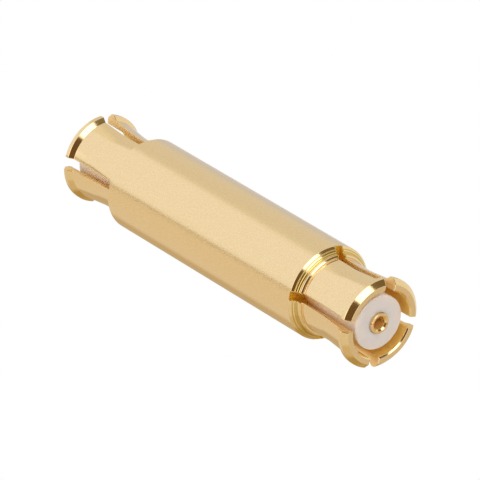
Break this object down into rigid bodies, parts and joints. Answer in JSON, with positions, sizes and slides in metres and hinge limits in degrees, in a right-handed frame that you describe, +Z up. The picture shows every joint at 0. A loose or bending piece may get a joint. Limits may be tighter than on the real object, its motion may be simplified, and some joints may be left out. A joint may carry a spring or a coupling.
{
  "type": "coaxial adapter",
  "caption": "Slim gold-plated push-in coaxial adapter with a thick round body, slotted spring fingers at both ends and a white insulated centre socket.",
  "frame": {"origin": "centre of the ring of rear finger tips that the adapter stands on", "axes": "+Z up along the adapter's axis, from the rear end to the front end; X and Y through the slots"},
  "size_m": [0.0034, 0.0034, 0.016],
  "materials": {
    "satin_gold": "satin gold plating over copper alloy",
    "insulator_white": "waxy white",
    "contact_gold": "bright gold plating over copper alloy"
  },
  "bodies": {
    "root": {"shell": "satin_gold", "front_insulator": "insulator_white", "rear_insulator": "insulator_white", "centre_contact": "contact_gold"}
  },
  "joints": []
}
